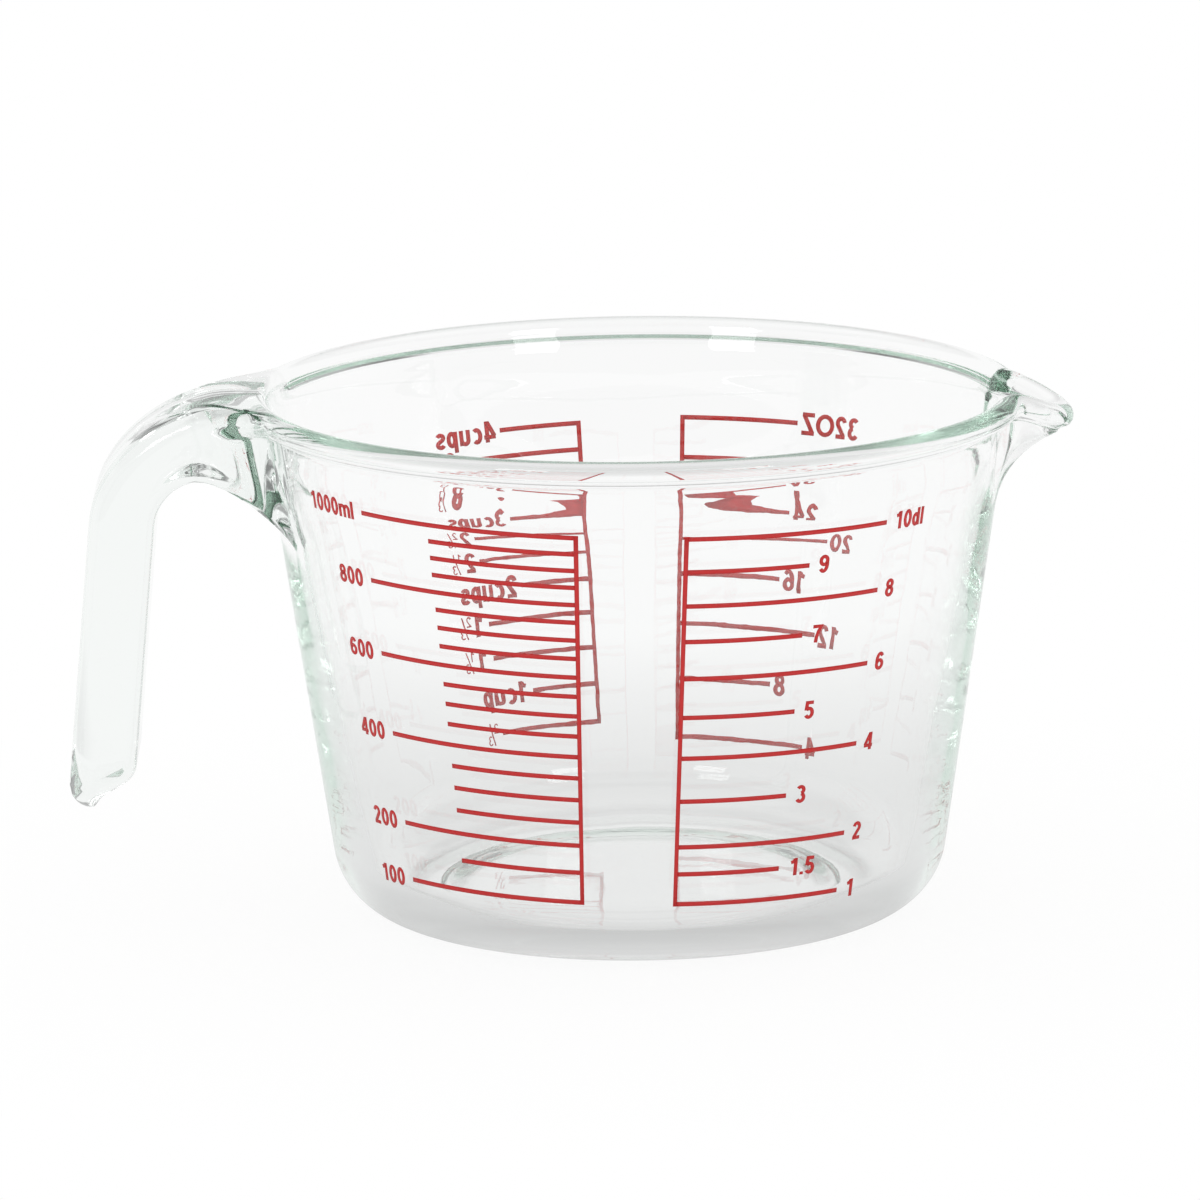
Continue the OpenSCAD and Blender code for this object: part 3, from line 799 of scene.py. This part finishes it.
def with_third(whole, share):
    """A label such as 2 and 1/3, whose fraction is small and thin and stands across its stroke."""
    def write(film, turn, z, tall, anchor):
        r = film.v.outer(z)
        along = film.words(whole, turn, z, tall, anchor) + tall * 0.05 if whole else 0.0
        small = tall * 0.5
        for text, shift, rise, high in ((share, 0, 0.27, small), ("/", 0.24, 0, tall * 0.95),
                                        ("3", 0.40, -0.27, small)):
            film.words(text, turn + math.degrees((along + shift * tall) / r), z + rise * tall, high, anchor,
                       0.13 if text != "/" else 0.07)
    return write


def taper(width, v, millilitres):
    """Arc of a mark, which gets shorter down the wall."""
    return width * (1 + 0.07 * (v.level(millilitres) / v.level(1000) - 0.5))


# Operators

class JUG_OT_glass(bpy.types.Operator):
    """Build the pressed glass: vessel, rim bead, spout and handle"""
    bl_idname = "jug.glass"
    bl_label = "Pressed glass"

    def execute(self, context):
        g = context.scene.jug_glass
        points, faces = glass_mesh(g)
        piece = make_piece("pressed_glass_jug", points, faces, pressed_glass(g))
        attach(piece, "root")
        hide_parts("glass_jug")
        return {"FINISHED"}


def finish_print(film, name, node, face, bonded_painted_light):
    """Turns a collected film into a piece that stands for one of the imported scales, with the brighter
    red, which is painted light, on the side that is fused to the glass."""
    piece = make_piece(name, film.points, film.faces, face)
    piece.data.materials.append(bonded_painted_light)
    for flat in piece.data.polygons:
        if flat.normal.x * flat.center.x + flat.normal.y * flat.center.y < 0:
            flat.material_index = 1
    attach(piece, "root")
    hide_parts(node)


class JUG_OT_metric_print(bpy.types.Operator):
    """Print the millilitre and decilitre scales on the near wall"""
    bl_idname = "jug.metric_print"
    bl_label = "Metric scales"

    def execute(self, context):
        v, p = Vessel(context.scene.jug_glass), context.scene.jug_print
        # The second red is painted light: brighter, for the print's side that is seen through the glass
        sides = fired_enamel(p.red), fired_enamel(p.bonded_red)
        millilitres = Print(v, p, NEAR - 9.9, p.metric_tilt, low_drop=p.low_drop / MM)
        # Arcs of the marks, in degrees of the wall
        long, short = 36.6, 23.8
        marks = [(m, taper(long if m % 200 == 0 or m == 100 else short, v, m)) for m in range(100, 1001, 50)]
        labels = {m: plain(str(m)) for m in (100, 200, 400, 600, 800)}
        labels[1000] = plain("1000ml")
        millilitres.scale(marks, -1, labels, tall=3.55, gap=2.3)
        finish_print(millilitres, "millilitre_print", "millilitre_scale", *sides)
        decilitres = Print(v, p, NEAR + 7, p.metric_tilt, low_drop=p.low_drop / MM)
        steps = [1, 1.5] + list(range(2, 11))
        long, short = 33.3, 19.7
        marks = [(100 * s, taper(long if s % 2 == 0 or s == 1 else short, v, 100 * s)) for s in steps]
        labels = {100 * s: plain("10dl" if s == 10 else str(s)) for s in steps}
        decilitres.scale(marks, 1, labels, tall=3.55, gap=2.0)
        finish_print(decilitres, "decilitre_print", "decilitre_scale", *sides)
        return {"FINISHED"}


class JUG_OT_cup_print(bpy.types.Operator):
    """Print the cup and ounce scales on the far wall"""
    bl_idname = "jug.cup_print"
    bl_label = "Cups and ounces"

    def execute(self, context):
        v, p = Vessel(context.scene.jug_glass), context.scene.jug_print
        # The second red is painted light: brighter, for the print's side that is seen through the glass
        sides = fired_enamel(p.red), fired_enamel(p.bonded_red)
        cups = Print(v, p, FAR + 8.7, p.cup_tilt, p.cup_drop / MM)
        # Arcs of the marks, in degrees of the wall
        short, long = 13.2, 21
        marks, labels = [], {}
        for third in range(2, 13):
            m = third * CUP_ML / 3
            whole, part = divmod(third, 3)
            marks.append((m, taper(short if part == 0 else long, v, m)))
            if part == 0:
                labels[m] = plain(f"{whole}cup" + ("s" if whole > 1 else ""))
            else:
                labels[m] = with_third(str(whole) if whole else "", str(part))
        cups.scale(marks, 1, labels, tall=4.3, gap=0.8)
        finish_print(cups, "cup_print", "cup_scale", *sides)
        ounces = Print(v, p, FAR - 7.9, p.ounce_tilt, p.ounce_drop / MM)
        short, long = 19.4, 28.7
        steps = {o: CUP_ML / 8 * o for o in range(4, 33, 4)}
        marks = [(m, taper(short if o % 8 == 0 else long, v, m)) for o, m in steps.items()]
        labels = {m: plain("32OZ" if o == 32 else str(o)) for o, m in steps.items()}
        ounces.scale(marks, -1, labels, tall=4.4, gap=0.7)
        finish_print(ounces, "ounce_print", "ounce_scale", *sides)
        return {"FINISHED"}


class JUG_OT_stage(bpy.types.Operator):
    """Set floor, light panels, sky and camera"""
    bl_idname = "jug.stage"
    bl_label = "Stage"

    def execute(self, context):
        s = context.scene.jug_stage
        floor = self.floor(s)
        panels = self.panels(s)
        self.sky(context.scene, s)
        self.camera(context.scene)
        context.scene.view_settings.view_transform = "Standard"
        # Light is followed through thick glass until little of it is left
        rays = context.scene.cycles
        rays.max_bounces = 96
        rays.transmission_bounces = 96
        rays.glossy_bounces = 96
        return {"FINISHED"}

    def floor(self, s):
        """Matte white paper round the jug: no gloss, no edge, and only a faint shade close to the glass."""
        material, node = new_material("White paper, matte")
        grain = node("TexNoise", {"Scale": 1 / (3 * MM), "Detail": 2.0})
        relief = node("Bump", {"Strength": 0.1, "Distance": 0.01 * MM}, {"Height": grain})
        sheet = node("BsdfDiffuse", {"Color": linear(s.floor_white)}, {"Normal": relief})
        # Light on its way between matte surfaces meets the bare sheet. The eye sees white, with a trace
        # of the sheet's own shade close to the jug
        path = node("LightPath")
        place = node("TexCoord").outputs["Object"]
        away = node("VectorMath", {"operation": "LENGTH"}, {0: place}).outputs["Value"]
        white = node("Emission", {"Color": linear("FFFFFF"), "Strength": 1.0})
        clear = node("MapRange", {"From Min": 0.07, "From Max": 0.2, "To Min": 0.92, "To Max": 1.0},
                     {"Value": away})
        near = node("MixShader", None, {0: clear, 1: sheet, 2: white})
        # Sheet as the glass shows it, with painted shadow of the jug: set greys, darker under the jug and in
        # front darkest in a ring just outside the foot. The ramps' places are metres from the middle, over
        # the ramps' end
        end = 0.2
        along = node("Math", {"operation": "DIVIDE", 1: end}, {0: away})
        outer = [(0.095 / end, s.under + 0.01), (0.150 / end, 0.5 * (s.under + s.backdrop)),
                 (1.0, s.backdrop)]
        in_front = node("ValToRGB", None, {"Fac": along}, [
            (0.040 / end, s.under), (0.046 / end, s.under - 0.08), (0.052 / end, s.foot_ring),
            (0.062 / end, s.under - 0.05)] + outer)
        behind = node("ValToRGB", None, {"Fac": along}, [(0.040 / end, s.under)] + outer)
        half = node("MapRange", {"From Min": -0.02, "From Max": 0.01},
                    {"Value": node("SeparateXYZ", None, {0: place}).outputs["Y"]})
        shade = node("Mix", {"data_type": "RGBA"}, {0: half, 6: in_front, 7: behind})
        # This emission glows the painted shadow greys, which glass rays see in place of the lit sheet
        pale = node("Emission", {"Strength": 1.0}, {"Color": shade.outputs[2]})
        lifted = node("MixShader", None, {0: path.outputs["Is Camera Ray"], 1: pale, 2: near})
        seen = node("MixShader", None, {0: path.outputs["Is Diffuse Ray"], 1: lifted, 2: sheet})
        node("OutputMaterial", None, {"Surface": seen})
        # A hair under the standing ring, so that the two don't share a plane
        hair = 0.02 * MM
        bpy.ops.mesh.primitive_circle_add(vertices=96, radius=s.floor_size, fill_type="NGON",
                                          location=(0, 0, -hair))
        floor = bpy.context.object
        floor.name = "floor_sheet"
        floor.data.materials.append(material)
        return floor

    def panels(self, s):
        """Two panels of lit cloth that face the jug's foot from the front and show in the glass as
        even, soft highlights."""
        light, node = new_material("Diffuser cloth, lit from behind")
        node("OutputMaterial", None,
             {"Surface": node("Emission", {"Color": linear("FFFFFF"), "Strength": s.panel_light})})
        half_wide, half_high, aim = 0.18, 0.15, Vector((0, 0, 0.05))
        made = []
        for n, side in enumerate((-1, 1), 1):
            mesh = bpy.data.meshes.new(f"light_panel_{n}")
            corners = (-1, -1), (1, -1), (1, 1), (-1, 1)
            mesh.from_pydata([(x * half_wide, y * half_high, 0) for x, y in corners], [], [(0, 1, 2, 3)])
            mesh.materials.append(light)
            panel = bpy.data.objects.new(mesh.name, mesh)
            bpy.context.scene.collection.objects.link(panel)
            panel.location = (s.panel_side * side, -s.panel_front, s.panel_height)
            panel.rotation_euler = (aim - panel.location).to_track_quat("Z", "Y").to_euler()
            panel.visible_camera = panel.visible_diffuse = False
            made.append(panel)
        return made

    def sky(self, scene, s):
        """White for the camera, even light for matte surfaces, and for the glass a white backdrop with
        a darker gap over it and a dimmer room behind the camera."""
        world = bpy.data.worlds.new("Light tent")
        scene.world = world
        world.use_nodes = True
        world.node_tree.nodes.clear()
        node = partial(add_node, world.node_tree)
        axes = node("SeparateXYZ", None, {0: node("TexCoord").outputs["Generated"]})
        back, up = axes.outputs["Y"], axes.outputs["Z"]
        dim = node("MapRange", {"From Min": -0.5, "From Max": 0.1, "To Min": s.room, "To Max": s.backdrop},
                   {"Value": back})
        # A place on these ramps is the sine of the angle over the horizon
        rise = node("ValToRGB", None, {"Fac": up}, [(0.40, 1.0), (0.46, s.gap), (0.66, s.gap), (0.78, 1.0)])
        # What comes out through the glass meets a dark ceiling with a lamp in its middle, and a light
        # wall behind the camera
        front = node("MapRange", {"From Min": -0.1, "From Max": 0.1, "To Min": 1.0, "To Max": 0.0},
                     {"Value": back})
        top = [(0.74, s.ceiling), (0.79, s.ceiling), (0.86, s.lamp)]
        over = node("ValToRGB", None, {"Fac": up},
                    [(0.40, s.backdrop), (0.46, s.gap), (0.66, s.gap)] + top)
        before = node("ValToRGB", None, {"Fac": up}, [(0.40, s.backdrop), (0.50, 0.9), (0.67, 0.9)] + top)
        around = node("Mix", {"data_type": "RGBA"}, {0: front, 6: over, 7: before})
        path = node("LightPath")
        white = node("Background", {"Color": linear("FFFFFF"), "Strength": 1.0})
        even = node("Background", {"Color": linear("FFFFFF"), "Strength": s.even})
        mirrored = node("Background", None, {"Color": rise, "Strength": dim})
        through = node("Background", {"Strength": 1.0}, {"Color": around.outputs[2]})
        room = node("MixShader", None, {0: path.outputs["Is Transmission Ray"], 1: mirrored, 2: through})
        matte = node("Math", {"operation": "GREATER_THAN", 1: 0.5}, {0: path.outputs["Diffuse Depth"]})
        lit = node("MixShader", None, {0: matte, 1: room, 2: even})
        seen = node("MixShader", None, {0: path.outputs["Is Camera Ray"], 1: lit, 2: white})
        node("OutputWorld", None, {"Surface": seen})

    def camera(self, scene):
        """Long lens from the photograph's place, which looks down by 12 degrees."""
        # Angles in radians, place in metres, and focal length in pixels of a picture 1200 across
        yaw, pitch, roll = -0.0033, 0.2122, -0.0125
        front, high = -2.222, 0.5405
        focal, across = 11457.5, 1200
        data = bpy.data.cameras.new("camera")
        data.sensor_width = 36
        data.lens = focal / across * data.sensor_width
        camera = bpy.data.objects.new("camera", data)
        scene.collection.objects.link(camera)
        ahead = Vector((math.sin(yaw) * math.cos(pitch), math.cos(yaw) * math.cos(pitch), -math.sin(pitch)))
        right = Vector((math.cos(yaw), -math.sin(yaw), 0))
        up = right.cross(ahead)
        turned = right * math.cos(roll) + up * math.sin(roll)
        over = up * math.cos(roll) - right * math.sin(roll)
        camera.matrix_world = Matrix((
            (turned.x, over.x, -ahead.x, 0), (turned.y, over.y, -ahead.y, front),
            (turned.z, over.z, -ahead.z, high), (0, 0, 0, 1)))
        scene.camera = camera


class JUG_PT_panel(bpy.types.Panel):
    """Sizes, colours and steps of the jug"""
    bl_label = "Measuring jug"
    bl_space_type = "VIEW_3D"
    bl_region_type = "UI"
    bl_category = "Jug"

    def draw(self, context):
        for group in ("jug_glass", "jug_print", "jug_stage"):
            box = self.layout.box()
            settings = getattr(context.scene, group)
            for name in settings.__annotations__:
                box.prop(settings, name)
        for step in STEPS:
            self.layout.operator(step.bl_idname)


GROUPS = {"jug_glass": JugGlassSettings, "jug_print": JugPrintSettings, "jug_stage": JugStageSettings}
STEPS = (JUG_OT_glass, JUG_OT_metric_print, JUG_OT_cup_print, JUG_OT_stage)


def register():
    for each in (*GROUPS.values(), *STEPS, JUG_PT_panel):
        bpy.utils.register_class(each)
    for name, group in GROUPS.items():
        setattr(bpy.types.Scene, name, bpy.props.PointerProperty(type=group))


def unregister():
    for name in GROUPS:
        delattr(bpy.types.Scene, name)
    for each in (JUG_PT_panel, *reversed(STEPS), *reversed(GROUPS.values())):
        bpy.utils.unregister_class(each)


def main():
    """Build every piece and the stage."""
    register()
    bpy.ops.jug.glass()
    bpy.ops.jug.metric_print()
    bpy.ops.jug.cup_print()
    bpy.ops.jug.stage()


if __name__ == "__main__":
    main()
